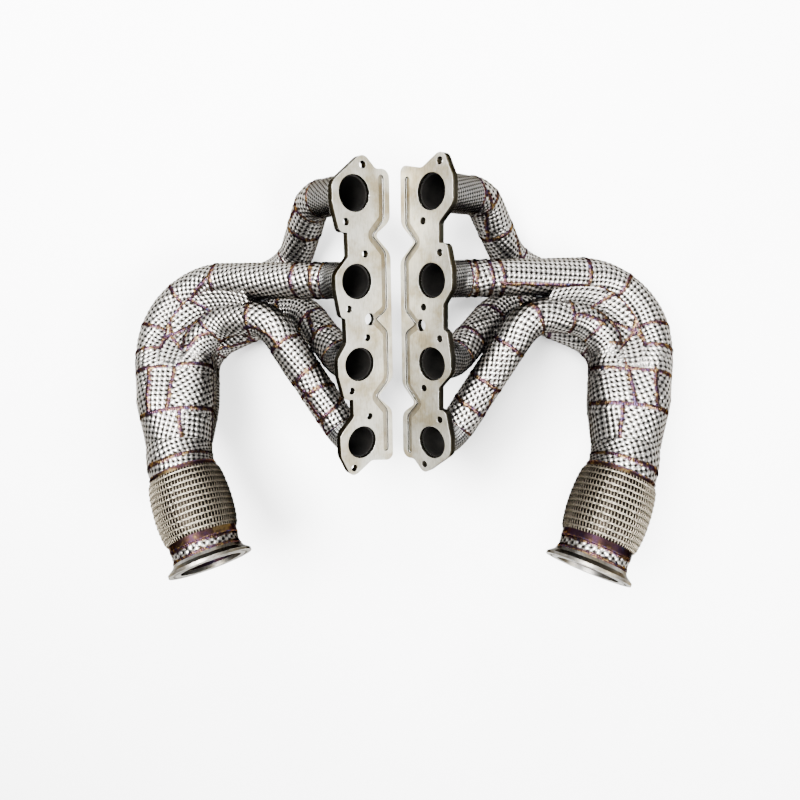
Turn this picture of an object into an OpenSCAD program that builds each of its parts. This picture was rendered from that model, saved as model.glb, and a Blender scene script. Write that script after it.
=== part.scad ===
// Pair of four-port exhaust manifolds for a V8 engine.
// Each manifold is a flat head flange, four bent runners in foil heat wraps, a four-into-one
// collector, a braided flexible joint and a V-band outlet flange.
// The pair lies on its runners with both head faces up. +X is across the pair, +Y along the
// head flanges away from the outlets, +Z up. The origin is below the middle of the pair,
// on the surface that it rests on.

/* [Head flange] */
// Distance between neighbouring ports
port_pitch = 98; // [94:1:104]
// Diameter of a port
port_d = 41; // [39:0.5:41]
// Thickness of the plate
flange_t = 10; // [9:0.5:12]
// Diameter of a stud hole
stud_d = 8.8; // [8.4:0.1:10]
// Distance from a port to its stud holes, along the flange
stud_along = 31.2; // [30:0.1:32]
// Distance from a port to its stud holes, across the flange
stud_across = 12.3; // [11:0.1:13]
// Diameter of the air injection hole
air_d = 15; // [10:0.5:16]
// Width of the air channel in the head face
channel_w = 8; // [6:0.5:8.5]
// Depth of the air channel
channel_deep = 3; // [1:0.5:4]
// Tilt of each head face towards the middle of the pair
flange_tilt = 39.5; // [38:0.5:41]
// Distance from the middle of the pair to each flange's centre
flange_offset = 43.2; // [43:0.2:50]

/* [Runners] */
// Outer diameter of a runner pipe
runner_d = 41.3; // [40:0.1:41.3]
// Wall of a runner pipe
runner_wall = 1.65; // [1.2:0.05:2]
// Thickness of a foil wrap
wrap_t = 1.5; // [1:0.1:1.6]
// Spacing of the four runners where they meet the collector
merge_pitch = 50; // [48:1:52]

/* [Collector and outlet] */
// Outer diameter of the outlet pipe
outlet_d = 76.2; // [74:0.1:77]
// Wall of the outlet pipe and the collector
outlet_wall = 1.6; // [1.2:0.1:2]
// Length of the collector
collector_len = 100; // [90:1:110]
// Length of the braid
braid_len = 82; // [78:1:90]
// Diameter of the braid at its fullest
braid_d = 95; // [94:1:98]
// Outer diameter of the V-band flange
v_band_d = 100; // [98:1:102]

/* [Hidden] */
$fn = 96;
SIDES = ["left", "right"];
RUNNERS = [1, 2, 3, 4];
TRIM = ["merge_collector", "collector_wrap_upper", "collector_wrap_lower", "neck_pipe",
        "neck_wrap", "flex_collar_upper", "flex_collar_lower", "flow_liner", "bellows",
        "braid_upper", "braid_lower", "outlet_pipe", "outlet_wrap", "v_band_flange"];

// Colours
bare_steel = "silver";
foil = "gainsboro";
fine_foil = "darkgray";
braid_steel = "darkkhaki";
tinted_steel = "rosybrown";

// Clearance between a wrap and what it covers, and between a pipe and its socket
gap = 0.15;
// A cutter goes this far past the face that it cuts
over = 1;

// Depth of the pipe sockets in the back of the plate
socket_deep = 4;
// Width of the butt joint between two welded sections of a tube, and the shortest section
weld_gap = 0.1;
shortest = 0.5;

// Height of the head face centres above the surface, and the pair's middle along Y
rest_height = 157.2;
middle_y = -62;

// --- Directions and vectors ---
function unit(v) = v / norm(v);
function side_of(v) = unit(abs(v.z) < 0.9 ? cross([0, 0, 1], v) : cross([1, 0, 0], v));

// Matrix whose Z axis is along dir and whose X axis is along across
function frame_at(origin, dir, across) =
    let (z = unit(dir), x = unit(across - (across * z) * z), y = cross(z, x))
    [[x.x, y.x, z.x, origin.x],
     [x.y, y.y, z.y, origin.y],
     [x.z, y.z, z.z, origin.z],
     [0, 0, 0, 1]];

module along(origin, dir) {
    multmatrix(frame_at(origin, dir, side_of(dir))) children();
}

// --- Places on the left manifold, measured from the middle of the pair ---
face_normal = [sin(flange_tilt), 0, cos(flange_tilt)];
function port_y(i) = (2.5 - i) * port_pitch;
function port_back(i) = [-flange_offset, port_y(i), 0] - flange_t * face_normal;

collector_dir = unit([0.13, -0.85, 0.51]);
flex_dir = unit([0.385, -0.812, 0.44]);
collector_top = [-293, -70, -60];
collector_end = collector_top + collector_len * collector_dir;

// The four runners are turned a little about the collector's axis
merge_turn = 10;
flat_across = unit([1, 0, 0] - collector_dir.x * collector_dir);
flat_up = cross(collector_dir, flat_across);
merge_across = cos(merge_turn) * flat_across - sin(merge_turn) * flat_up;
merge_up = cos(merge_turn) * flat_up + sin(merge_turn) * flat_across;
merge_half = merge_pitch / 2;
function merge_point(a, u) = collector_top + merge_half * (a * merge_across + u * merge_up);

outer_front = merge_point(-1, 1);
inner_front = merge_point(1, 1);
outer_back = merge_point(-1, -1);
inner_back = merge_point(1, -1);
function before(p, distance) = p - distance * collector_dir;
function stub_end(i, distance) = port_back(i) - distance * face_normal;
function pipe_end(i) = port_back(i) + (socket_deep - gap) * face_normal;

// Each route is a list of [corner, bend radius]. The ends have no bend.
ROUTES = [
    [[pipe_end(1), 0], [stub_end(1, 86), 48], [[-150, 66, -138], 60],
     [before(outer_back, 74), 60], [outer_back, 0]],
    [[pipe_end(2), 0], [stub_end(2, 40), 45], [before(outer_front, 126), 84],
     [outer_front, 0]],
    [[pipe_end(3), 0], [stub_end(3, 32), 38], [[-142, 16, -120], 50],
     [before(inner_back, 44), 50], [inner_back, 0]],
    [[pipe_end(4), 0], [stub_end(4, 26), 32], [[-166, 6, -50], 50],
     [before(inner_front, 60), 50], [inner_front, 0]]];
// How far each fine foil sleeve reaches along its runner
SLEEVE_LENGTHS = [66, 52, 44, 40];

// --- Bent tubes ---
function corner(route, i) = route[i][0];
function heading(route, i) = unit(corner(route, i) - corner(route, i - 1));
function turn(route, i) =
    i == 0 || i == len(route) - 1 ? 0 : acos(heading(route, i) * heading(route, i + 1));
function setback(route, i) = route[i][1] * tan(turn(route, i) / 2);
function leg_start(route, i) = corner(route, i - 1) + setback(route, i - 1) * heading(route, i);
function leg_length(route, i) =
    norm(corner(route, i) - corner(route, i - 1)) - setback(route, i) - setback(route, i - 1);
function bend_length(route, i) = route[i][1] * turn(route, i) * PI / 180;
function leg_from(route, i) =
    i <= 1 ? 0 : leg_from(route, i - 1) + leg_length(route, i - 1) + bend_length(route, i - 1);
function route_length(route) =
    leg_from(route, len(route) - 1) + leg_length(route, len(route) - 1);

module ring(outer, inner) {
    difference() {
        circle(r = outer);
        circle(r = inner);
    }
}

// A tube along a route, between two distances measured from its start. Each leg and each
// bend is a section of its own.
module tube_along(route, from, to, outer, inner) {
    trim = weld_gap / 2;
    for (i = [1:len(route) - 1]) {
        leg_lo = leg_from(route, i);
        bend_lo = leg_lo + leg_length(route, i);
        lo = max(from, leg_lo) + trim;
        hi = min(to, bend_lo) - trim;
        if (hi > lo + shortest)
            along(leg_start(route, i) + (lo - leg_lo) * heading(route, i), heading(route, i))
                linear_extrude(hi - lo) ring(outer, inner);
        bend_from = max(from, bend_lo) + trim;
        bend_to = min(to, bend_lo + bend_length(route, i)) - trim;
        if (i < len(route) - 1 && bend_to > bend_from + shortest)
            bent_tube(route, i, bend_from - bend_lo, bend_to - bend_lo, outer, inner);
    }
}

module bent_tube(route, i, from, to, outer, inner) {
    radius = route[i][1];
    u = heading(route, i);
    v = heading(route, i + 1);
    inward = unit(v - (v * u) * u);
    start = leg_start(route, i) + leg_length(route, i) * u;
    degree = 180 / PI / radius;
    multmatrix(frame_at(start + radius * inward, cross(u, inward), -inward))
        rotate([0, 0, from * degree])
            rotate_extrude(angle = (to - from) * degree)
                translate([radius, 0]) ring(outer, inner);
}

// --- Head flange ---
ear_r = 9.5;
// Corners of the plate and their radii, clockwise from the ear at the far end
PLATE = [
    [13, 191.5, ear_r], [30, 175, 6], [48.5, 176, 10], [48.5, 117, 16],
    [26.5, 101.5, 5], [48.5, 80, 16], [48.5, -71, 16], [25.5, -93, 5],
    [46.5, -113, 14], [46.5, -180, 8], [14, -173.5, 8], [-16, -191, ear_r - 0.5],
    [-30.5, -160, 15], [-30.5, -133, 14], [-10.5, -113, 6], [-10.5, -90.5, 2],
    [-22, -91, 8], [-29.5, -60, 15], [-29.5, -40, 14], [-17, -22, 6],
    [-17, 7, 3], [-23, 8, 7], [-28.5, 40, 15], [-28.5, 58, 14],
    [-10.5, 77, 6], [-10.5, 104, 2], [-21, 104.5, 7], [-28.5, 136, 15],
    [-28.5, 158, 14]];
arc_steps = 5;

// Points of the rounded corner b between its neighbours a and c
function round_corner(a, b, c, r) =
    let (u = unit(b - a), v = unit(c - b), angle = acos(u * v), back = r * tan(angle / 2),
         handed = u.x * v.y - u.y * v.x > 0 ? 1 : -1,
         centre = b - back * u + r * handed * [-u.y, u.x])
    [for (k = [0:arc_steps])
        let (q = handed * angle * k / arc_steps, w = -r * handed * [-u.y, u.x])
        centre + [w.x * cos(q) - w.y * sin(q), w.x * sin(q) + w.y * cos(q)]];
function flat(p) = [p[0], p[1]];
function rounded(points) =
    let (n = len(points))
    [for (i = [0:n - 1]) each round_corner(
        flat(points[(i + n - 1) % n]), flat(points[i]), flat(points[(i + 1) % n]), points[i][2])];

air_place = [16.8, 3.9];
// Line of the air channel from end to end, as [x, y, bend radius]. It passes the air hole.
CHANNEL = [
    [37, 165, 0], [37, 121, 8], [18.5, 101, 7], [38.5, 80, 10], [38.5, 16, 8], [20, 3.9, 5],
    [38.5, -14, 8], [38.5, -72, 10], [18.5, -92, 7], [36, -113, 8], [36, -162, 0]];
cap_steps = 6;

// The line with its corners rounded
function smooth(points) =
    let (last = len(points) - 1)
    concat([flat(points[0])],
           [for (i = [1:last - 1]) each round_corner(
               flat(points[i - 1]), flat(points[i]), flat(points[i + 1]), points[i][2])],
           [flat(points[last])]);

// Corner i of a strip along the points, on its left (side 1) or right (side -1)
function strip_corner(points, i, side, half) =
    let (u = unit(points[i] - points[i - 1]),
         v = unit(points[i + 1] - points[i]),
         m = unit(u + v))
    points[i] + side * half / (m * u) * [-m.y, m.x];

// Half circle that ends a strip
function end_cap(centre, heading, half) =
    [for (k = [0:cap_steps])
        let (q = 90 - 180 * k / cap_steps)
        centre + half * (cos(q) * heading + sin(q) * [-heading.y, heading.x])];

module channel_shape() {
    path = smooth(CHANNEL);
    last = len(path) - 1;
    half = channel_w / 2;
    polygon(concat(
        [for (i = [1:last - 1]) strip_corner(path, i, 1, half)],
        end_cap(path[last], unit(path[last] - path[last - 1]), half),
        [for (i = [last - 1:-1:1]) strip_corner(path, i, -1, half)],
        end_cap(path[0], unit(path[0] - path[1]), half)));
}

module plate() {
    difference() {
        translate([0, 0, -flange_t]) linear_extrude(flange_t) polygon(rounded(PLATE));
        for (i = RUNNERS) {
            translate([0, port_y(i), -flange_t - over])
                cylinder(d = port_d, h = flange_t + 2 * over);
            translate([0, port_y(i), -flange_t - over])
                cylinder(d = runner_d + 2 * gap, h = socket_deep + over);
            for (s = [-1, 1])
                translate([s * stud_across, port_y(i) + s * stud_along, -flange_t - over])
                    cylinder(d = stud_d, h = flange_t + 2 * over);
        }
        translate([air_place.x, air_place.y, -flange_t - over])
            cylinder(d = air_d, h = flange_t + 2 * over);
        translate([0, 0, -channel_deep]) linear_extrude(channel_deep + over) channel_shape();
    }
}

module placed() {
    translate([0, -middle_y, rest_height]) children();
}

// The right manifold's pipes mirror the left one's
module handed(side) {
    if (side == "left") placed() children();
    else placed() mirror([1, 0, 0]) children();
}

// Both sides use one plate. The right one is turned end for end.
module head_flange(side) {
    color(bare_steel) placed()
        if (side == "left")
            translate([-flange_offset, 0, 0]) rotate([0, flange_tilt, 0]) plate();
        else
            translate([flange_offset, 0, 0]) rotate([0, -flange_tilt, 0])
                rotate([0, 0, 180]) plate();
}

// --- Runners and their wraps ---
runner_r = runner_d / 2;
wrap_in = runner_r + gap;
wrap_out = wrap_in + wrap_t;

module runner(side, i) {
    route = ROUTES[i - 1];
    color(tinted_steel) handed(side)
        tube_along(route, 0, route_length(route), runner_r, runner_r - runner_wall);
}

// Bare length of pipe beside the plate, left for the weld
weld_room = 2;

module stub_sleeve(side, i) {
    from = socket_deep + weld_room;
    color(fine_foil) handed(side)
        tube_along(ROUTES[i - 1], from, SLEEVE_LENGTHS[i - 1], wrap_out, wrap_in);
}

module runner_wrap(side, i) {
    route = ROUTES[i - 1];
    color(foil) handed(side)
        tube_along(route, SLEEVE_LENGTHS[i - 1] + gap, route_length(route), wrap_out, wrap_in);
}

// --- Collector ---
outlet_r = outlet_d / 2;
shoulder_at = 45;
// [distance from the top, distance of the lobes from the middle, radius of a lobe]
MERGE_SECTIONS = [
    [0, merge_half, runner_r + gap],
    [shoulder_at, 20, 25.5],
    [collector_len, 0.1, outlet_r]];
slice_t = 0.5;

module merge_slice(section, grow, shift) {
    for (a = [-1, 1])
        for (u = [-1, 1])
            multmatrix(frame_at(collector_top
                                + section[1] * (a * merge_across + u * merge_up)
                                + (section[0] + shift) * collector_dir,
                                collector_dir, merge_across))
                cylinder(r = section[2] + grow, h = slice_t, $fn = 32);
}

// The space between two sections of the collector. It stands back from each by trim.
module merge_body(k, grow, trim) {
    hull() {
        merge_slice(MERGE_SECTIONS[k], grow, trim);
        merge_slice(MERGE_SECTIONS[k + 1], grow, -slice_t - trim);
    }
}

module merge_shell(k, outer, inner) {
    difference() {
        merge_body(k, outer, weld_gap / 2);
        merge_body(k, inner, -weld_gap);
    }
}

module merge_collector(side) {
    color(tinted_steel) handed(side)
        for (k = [0, 1])
            merge_shell(k, 0, -outlet_wall);
}

module collector_wrap(side, k) {
    color(foil) handed(side) merge_shell(k, gap + wrap_t, gap);
}

// --- Neck, flexible joint and outlet ---
neck_leg = 20;
neck_bend = 100;
// How far a pipe goes into the flexible joint's collar
socket = 6;
neck_corner = collector_end + neck_leg * collector_dir;
flex_start = neck_corner + neck_leg * flex_dir;
NECK = [[collector_end, 0], [neck_corner, neck_bend], [flex_start + socket * flex_dir, 0]];
function flex_at(distance) = flex_start + distance * flex_dir;

module neck_pipe(side) {
    color(tinted_steel) handed(side)
        tube_along(NECK, 0, route_length(NECK), outlet_r, outlet_r - outlet_wall);
}

collar_w = 9;
module neck_wrap(side) {
    color(foil) handed(side)
        tube_along(NECK, gap, route_length(NECK) - collar_w, outlet_r + gap + wrap_t,
                   outlet_r + gap);
}

collar_t = 3;
// How far the lower collar reaches under the end of the braid
collar_inset = 2;
module collar(start) {
    along(flex_at(start), flex_dir) linear_extrude(collar_w)
        ring(outlet_r + collar_t, outlet_r + gap);
}

module flex_collar_upper(side) {
    color(tinted_steel) handed(side) collar(socket - collar_w);
}

module flex_collar_lower(side) {
    color(tinted_steel) handed(side) collar(braid_len - collar_inset);
}

liner_r = 33;
liner_wall = 1.5;
liner_end = 56;
// Length of the lip that holds the liner in the inlet pipe
liner_lip = 3;
// Tube on the inlet side that guides the gas past the bellows
module flow_liner(side) {
    color(bare_steel) handed(side) {
        along(flex_at(socket + gap), flex_dir)
            linear_extrude(liner_lip) ring(outlet_r, liner_r - liner_wall);
        along(flex_at(socket + liner_lip - over), flex_dir)
            linear_extrude(liner_end - socket - liner_lip + over)
                ring(liner_r, liner_r - liner_wall);
    }
}

bellows_from = 14;
bellows_to = 70;
bellows_folds = 7;
bellows_root = 40.3;
bellows_crest = 43.3;
bellows_wall = 0.8;
fold_steps = 8;
function fold_r(t) =
    (bellows_root + bellows_crest) / 2
    - (bellows_crest - bellows_root) / 2 * cos(360 * bellows_folds * t);
// Folded tube under the braid
module bellows(side) {
    n = bellows_folds * fold_steps;
    long = bellows_to - bellows_from;
    color(bare_steel) handed(side) along(flex_at(bellows_from), flex_dir)
        rotate_extrude() polygon(concat(
            [for (k = [0:n]) [fold_r(k / n), long * k / n]],
            [for (k = [n:-1:0]) [fold_r(k / n) - bellows_wall, long * k / n]]));
}

braid_t = 2.2;
braid_lip = 0.2;
// Distance over which the braid reaches its full thickness, as a share of its length
braid_taper = 1 / 8;
braid_end_r = outlet_r + collar_t + 0.3;
braid_steps = 8;
braid_bulge = 0.45;
braid_inset = 0.5;
function braid_r(t) =
    braid_end_r + (braid_d / 2 - braid_end_r) * pow(sin(180 * t), braid_bulge);
// Half of the wire braid, between two shares of its length
module braid(from, to) {
    along(flex_at(braid_inset), flex_dir) rotate_extrude() polygon(concat(
        [for (k = [0:braid_steps])
            let (t = from + (to - from) * k / braid_steps)
            [braid_r(t), t * (braid_len - 2 * braid_inset)]],
        [for (k = [braid_steps:-1:0])
            let (t = from + (to - from) * k / braid_steps)
            [braid_r(t) - min(braid_t, braid_lip + braid_t * min(t, 1 - t) / braid_taper),
             t * (braid_len - 2 * braid_inset)]]));
}

module braid_upper(side) {
    color(braid_steel) handed(side) braid(0, 0.5);
}

module braid_lower(side) {
    color(braid_steel) handed(side) braid(0.5, 1);
}

outlet_len = 117;
// Start of the outlet pipe, inside the braid and clear of the bellows
outlet_from = braid_len - 4;
pipe_depth = 5;
module outlet_pipe(side) {
    color(tinted_steel) handed(side) along(flex_at(outlet_from), flex_dir)
        linear_extrude(outlet_len - pipe_depth - gap - outlet_from)
            ring(outlet_r, outlet_r - outlet_wall);
}

outlet_wrap_from = 89.5;
v_band_len = 13;
module outlet_wrap(side) {
    color(foil) handed(side) along(flex_at(outlet_wrap_from), flex_dir)
        linear_extrude(outlet_len - v_band_len - outlet_wrap_from - gap)
            ring(outlet_r + gap + wrap_t, outlet_r + gap);
}

// Half section of the V-band flange, as [radius, distance behind its face]
v_band_r = v_band_d / 2;
v_rim = 3.5;
v_bore = outlet_r - outlet_wall;
register_r = 45;
register_w = 3;
register_deep = 1.5;
hub_r = 41;
v_shoulder = 2;
v_cone = 5.5;
V_SECTION = [
    [v_bore, 0], [register_r - register_w, 0], [register_r - register_w, register_deep],
    [register_r, register_deep], [register_r, 0], [v_band_r, 0], [v_band_r, v_rim],
    [hub_r + v_shoulder, v_rim + v_cone], [hub_r, v_band_len], [outlet_r + gap, v_band_len],
    [outlet_r + gap, pipe_depth], [v_bore, pipe_depth]];

module v_band_flange(side) {
    color(bare_steel) handed(side) along(flex_at(outlet_len), -flex_dir)
        rotate_extrude() polygon(V_SECTION);
}

// --- Drawing ---
for (side = SIDES) {
    head_flange(side);
    for (i = RUNNERS) {
        runner(side, i);
        stub_sleeve(side, i);
        runner_wrap(side, i);
    }
    merge_collector(side);
    collector_wrap(side, 0);
    collector_wrap(side, 1);
    neck_pipe(side);
    neck_wrap(side);
    flex_collar_upper(side);
    flex_collar_lower(side);
    flow_liner(side);
    bellows(side);
    braid_upper(side);
    braid_lower(side);
    outlet_pipe(side);
    outlet_wrap(side);
    v_band_flange(side);
}
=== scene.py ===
"""The looks of a pair of exhaust manifolds: embossed foil wraps with welded seams, a knitted
wire braid on each flexible joint, and machined, heat-tinted steel."""
import math

import bpy
import numpy as np
from mathutils import Matrix, Vector

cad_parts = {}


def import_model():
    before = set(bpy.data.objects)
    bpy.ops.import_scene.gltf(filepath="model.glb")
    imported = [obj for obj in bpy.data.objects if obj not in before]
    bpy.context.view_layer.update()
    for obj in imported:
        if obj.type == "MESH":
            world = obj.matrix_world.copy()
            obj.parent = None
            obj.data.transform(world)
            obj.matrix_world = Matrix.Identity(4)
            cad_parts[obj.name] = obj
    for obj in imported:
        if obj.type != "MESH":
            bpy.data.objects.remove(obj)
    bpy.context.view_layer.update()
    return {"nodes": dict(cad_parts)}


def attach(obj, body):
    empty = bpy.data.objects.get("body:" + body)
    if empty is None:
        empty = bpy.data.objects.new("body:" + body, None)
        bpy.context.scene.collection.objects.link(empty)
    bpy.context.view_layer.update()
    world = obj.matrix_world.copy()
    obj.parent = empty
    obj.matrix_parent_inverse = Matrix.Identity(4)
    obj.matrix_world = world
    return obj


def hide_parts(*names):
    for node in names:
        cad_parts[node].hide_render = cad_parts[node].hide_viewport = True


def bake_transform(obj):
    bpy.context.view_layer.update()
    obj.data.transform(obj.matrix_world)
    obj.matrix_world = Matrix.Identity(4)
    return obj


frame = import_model()

MM = 0.001
SIDES = ("left", "right")

# --- The design's driving sizes, in millimetres, as in part.scad ---
PORT_PITCH = 98.0
FLANGE_T = 10.0
FLANGE_TILT = math.radians(39.5)
FLANGE_OFFSET = 43.2
REST_HEIGHT = 157.2
MIDDLE_Y = -62.0
SOCKET_DEEP = 4.0
GAP = 0.15
WRAP_R = 22.3
SLEEVE_ENDS = (66.0, 52.0, 44.0, 40.0)
COLLECTOR_LEN = 100.0
SHOULDER_AT = 45.0
MERGE_HALF = 25.0
MERGE_TURN = math.radians(10)
NECK_LEG = 20.0
OUTLET_R = 38.1
OUTLET_WRAP_R = 39.75
BRAID_LEN = 82.0
BRAID_END_R = 41.4
BRAID_R = 47.5
OUTLET_LEN = 117.0


def unit(v):
    v = np.asarray(v, float)
    return v / np.linalg.norm(v)


UP = np.array([0.0, 0.0, 1.0])
FACE_NORMAL = np.array([math.sin(FLANGE_TILT), 0.0, math.cos(FLANGE_TILT)])
COLLECTOR_DIR = unit([0.13, -0.85, 0.51])
FLEX_DIR = unit([0.385, -0.812, 0.44])
COLLECTOR_TOP = np.array([-293.0, -70.0, -60.0])
COLLECTOR_END = COLLECTOR_TOP + COLLECTOR_LEN * COLLECTOR_DIR
NECK_CORNER = COLLECTOR_END + NECK_LEG * COLLECTOR_DIR
FLEX_START = NECK_CORNER + NECK_LEG * FLEX_DIR
FLAT_ACROSS = unit(np.array([1.0, 0, 0]) - COLLECTOR_DIR[0] * COLLECTOR_DIR)
FLAT_UP = np.cross(COLLECTOR_DIR, FLAT_ACROSS)
MERGE_ACROSS = math.cos(MERGE_TURN) * FLAT_ACROSS - math.sin(MERGE_TURN) * FLAT_UP
MERGE_UP = math.cos(MERGE_TURN) * FLAT_UP + math.sin(MERGE_TURN) * FLAT_ACROSS
# A point on the left head face, in metres
FACE_AT = np.array([-FLANGE_OFFSET, 0.0, REST_HEIGHT]) * MM


def port_back(i):
    return np.array([-FLANGE_OFFSET, (2.5 - i) * PORT_PITCH, 0.0]) - FLANGE_T * FACE_NORMAL


def stub_end(i, distance):
    return port_back(i) - distance * FACE_NORMAL


def pipe_end(i):
    return port_back(i) + (SOCKET_DEEP - GAP) * FACE_NORMAL


def merge_point(across, up):
    return COLLECTOR_TOP + MERGE_HALF * (across * MERGE_ACROSS + up * MERGE_UP)


def before(point, distance):
    return point - distance * COLLECTOR_DIR


def flex_at(distance):
    return FLEX_START + distance * FLEX_DIR


OUTER_FRONT, INNER_FRONT = merge_point(-1, 1), merge_point(1, 1)
OUTER_BACK, INNER_BACK = merge_point(-1, -1), merge_point(1, -1)

# Each route is a list of (corner, bend radius). The ends have no bend.
ROUTES = (
    ((pipe_end(1), 0), (stub_end(1, 86), 48), ((-150, 66, -138), 60),
     (before(OUTER_BACK, 74), 60), (OUTER_BACK, 0)),
    ((pipe_end(2), 0), (stub_end(2, 40), 45), (before(OUTER_FRONT, 126), 84),
     (OUTER_FRONT, 0)),
    ((pipe_end(3), 0), (stub_end(3, 32), 38), ((-142, 16, -120), 50),
     (before(INNER_BACK, 44), 50), (INNER_BACK, 0)),
    ((pipe_end(4), 0), (stub_end(4, 26), 32), ((-166, 6, -50), 50),
     (before(INNER_FRONT, 60), 50), (INNER_FRONT, 0)),
)
NECK_BEND_R = 100
NECK_INTO_FLEX = 6
NECK = ((COLLECTOR_END, 0), (NECK_CORNER, NECK_BEND_R), (flex_at(NECK_INTO_FLEX), 0))


def to_row(points, side):
    """Design millimetres of the left manifold to row metres of either side."""
    out = np.array(points, float)
    if side == "right":
        out[..., 0] *= -1
    out += np.array([0.0, -MIDDLE_Y, REST_HEIGHT])
    return out * MM


def row_point(point, side):
    return tuple(to_row(point, side))


# --- Routes ---
def centreline(route, step=0.5):
    """Points and directions along a route of legs and round bends, one every step."""
    corners = [np.array(c, float) for c, _ in route]
    points, directions = [], []
    at = corners[0]
    for i in range(1, len(corners)):
        u = unit(corners[i] - corners[i - 1])
        back = angle = 0.0
        if i < len(corners) - 1:
            v = unit(corners[i + 1] - corners[i])
            angle = math.acos(float(np.clip(u @ v, -1, 1)))
            back = route[i][1] * math.tan(angle / 2)
        leg_end = corners[i] - back * u
        count = max(2, int(np.linalg.norm(leg_end - at) / step))
        for k in range(count):
            points.append(at + (leg_end - at) * k / count)
            directions.append(u)
        at = leg_end
        if angle:
            radius = route[i][1]
            inward = unit(v - (v @ u) * u)
            count = max(2, int(radius * angle / step))
            for k in range(count):
                q = angle * k / count
                points.append(leg_end + radius * (math.sin(q) * u + (1 - math.cos(q)) * inward))
                directions.append(math.cos(q) * u + math.sin(q) * inward)
            at = corners[i] + back * v
    points.append(at)
    directions.append(unit(corners[-1] - corners[-2]))
    return np.array(points), np.array(directions)


def carried_frames(directions, first):
    """A pair of cross directions at each point, carried along without twist."""
    normals = [unit(first - (first @ directions[0]) * directions[0])]
    for d in directions[1:]:
        n = normals[-1] - (normals[-1] @ d) * d
        normals.append(unit(n))
    normals = np.array(normals)
    return normals, np.cross(directions, normals)


def step_lengths(points):
    return np.linalg.norm(np.diff(points, axis=0), axis=1)


def distances_along(points):
    """Each point's distance from the start of its path."""
    return np.concatenate([[0], np.cumsum(step_lengths(points))])


def read_along(values, along, places):
    """A path's points or directions at some distances along it."""
    return np.stack([np.interp(places, along, values[:, k]) for k in range(3)], axis=1)


# The first cross direction is near UP, leant this far towards the route's end.
FIRST_LEAN = 0.3


def route_rows(route, start, end, spacing):
    """Centres, cross directions and distances of a tube's rings."""
    points, directions = centreline(route)
    across, up = carried_frames(directions, UP + FIRST_LEAN * directions[-1])
    along = distances_along(points)
    rows = np.linspace(start, min(end, along[-1]), max(2, int((end - start) / spacing)) + 1)
    centre, across, up = (read_along(part, along, rows) for part in (points, across, up))
    return centre, across, up, rows


def route_length(route):
    points, _ = centreline(route)
    return float(step_lengths(points).sum())


# --- Meshes ---
def new_mesh_object(name, points, faces, side, values=None):
    """An object from points in design millimetres and quads or triangles."""
    mesh = bpy.data.meshes.new(name)
    co = to_row(points.reshape(-1, 3), side)
    faces = np.asarray(faces, np.int32)
    if side == "right":
        faces = faces[:, ::-1]
    sides = faces.shape[1]
    mesh.vertices.add(len(co))
    mesh.vertices.foreach_set("co", co.astype(np.float32).ravel())
    mesh.loops.add(faces.size)
    mesh.loops.foreach_set("vertex_index", faces.ravel())
    mesh.polygons.add(len(faces))
    mesh.polygons.foreach_set("loop_start", np.arange(0, faces.size, sides, dtype=np.int32))
    mesh.polygons.foreach_set("use_smooth", np.ones(len(faces), bool))
    mesh.update(calc_edges=True)
    for key, value in (values or {}).items():
        attribute = mesh.attributes.new(key, "FLOAT", "POINT")
        attribute.data.foreach_set("value", value.astype(np.float32).ravel())
    mesh.validate()
    obj = bpy.data.objects.new(name, mesh)
    bpy.context.scene.collection.objects.link(obj)
    return obj


def full_turn(count):
    """The angles of points spaced evenly round a circle."""
    return 2 * math.pi * np.arange(count) / count


def outward(angle, across, up):
    """Directions at an angle from across towards up."""
    return np.cos(angle)[..., None] * across + np.sin(angle)[..., None] * up


def ring_faces(rows, count):
    """Quads between rings of count points each, facing outwards."""
    r, c = np.meshgrid(np.arange(rows - 1), np.arange(count), indexing="ij")
    a, b = r * count + c, r * count + (c + 1) % count
    return np.stack([a, b, b + count, a + count], axis=-1).reshape(-1, 4)


def looped_faces(rows, count):
    """Quads between rings, with the last ring joined to the first."""
    c = np.arange(count)
    ahead = (c + 1) % count
    last = (rows - 1) * count
    closing = np.stack([last + c, last + ahead, ahead, c], axis=-1)
    return np.concatenate([ring_faces(rows, count), closing])


# --- Embossed foil ---
FOIL_T = 0.6
FOIL_SPACING = 0.9
FINE_SPACING = 0.52
EMBOSS_HEIGHT = 0.62
EMBOSS_HALF_PERIOD = 4.4
FINE_HEIGHT = 0.3
FINE_HALF_PERIOD = 3.0
EDGE_FADE = 2.0
# A seam that runs from before the start of any tube to past its end
LONG_SEAM = (-50.0, 600.0)
# The least and most turn of a patch's lattice, in radians, and its most shift
LATTICE_TURNS = (0.25, 1.3)
LATTICE_SHIFT = 10
LATTICES = 200
PATCHES_A_RING = 4
BEAD_HEIGHT = 1.2
BEAD_WIDTH = 2.2
BEAD_RIPPLE = 2.6
RIPPLE_DEPTH = 0.3
SEAM_WANDER = 0.5
CUT_WAVE = 5.0
CALM_WIDTH = 1.9
HEAT_WIDTH = 6.5
DENT_HEIGHT = 0.25
DENT_ALONG, DENT_SWAY, DENT_AROUND = 9.0, 14.0, 11.0
FAR_AWAY = 1e3


def turned_away(angle):
    """An angle brought between -pi and pi."""
    return (angle + math.pi) % (2 * math.pi) - math.pi


def beside(distance, width):
    """1 on a line, fading to 0 beside it."""
    return np.exp(-(distance / width) ** 2)


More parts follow.
